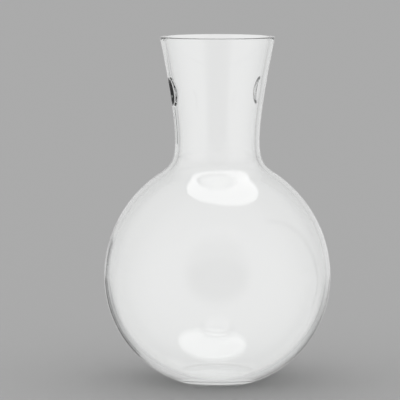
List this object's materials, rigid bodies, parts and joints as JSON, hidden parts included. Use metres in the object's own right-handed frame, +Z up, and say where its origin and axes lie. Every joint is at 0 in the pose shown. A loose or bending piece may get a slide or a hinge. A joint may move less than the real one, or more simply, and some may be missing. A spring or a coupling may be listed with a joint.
{
  "type": "round bottom flask",
  "caption": "Clear blown-glass flask or bud vase: round globe on a small flat foot, waisted and flared open neck, pressed dimples for a holder's pins. Holds water and cut stems.",
  "frame": {"origin": "centre of the flat foot, on the surface that the flask stands on", "axes": "+Z up along the axis of the glass; X runs through the dimples on the left and right of the neck"},
  "size_m": [0.08, 0.08, 0.122],
  "materials": {
    "clear_glass": "clear, fire-polished, with a glossy surface"
  },
  "bodies": {
    "root": {"globe": "clear_glass", "neck": "clear_glass"}
  },
  "joints": []
}
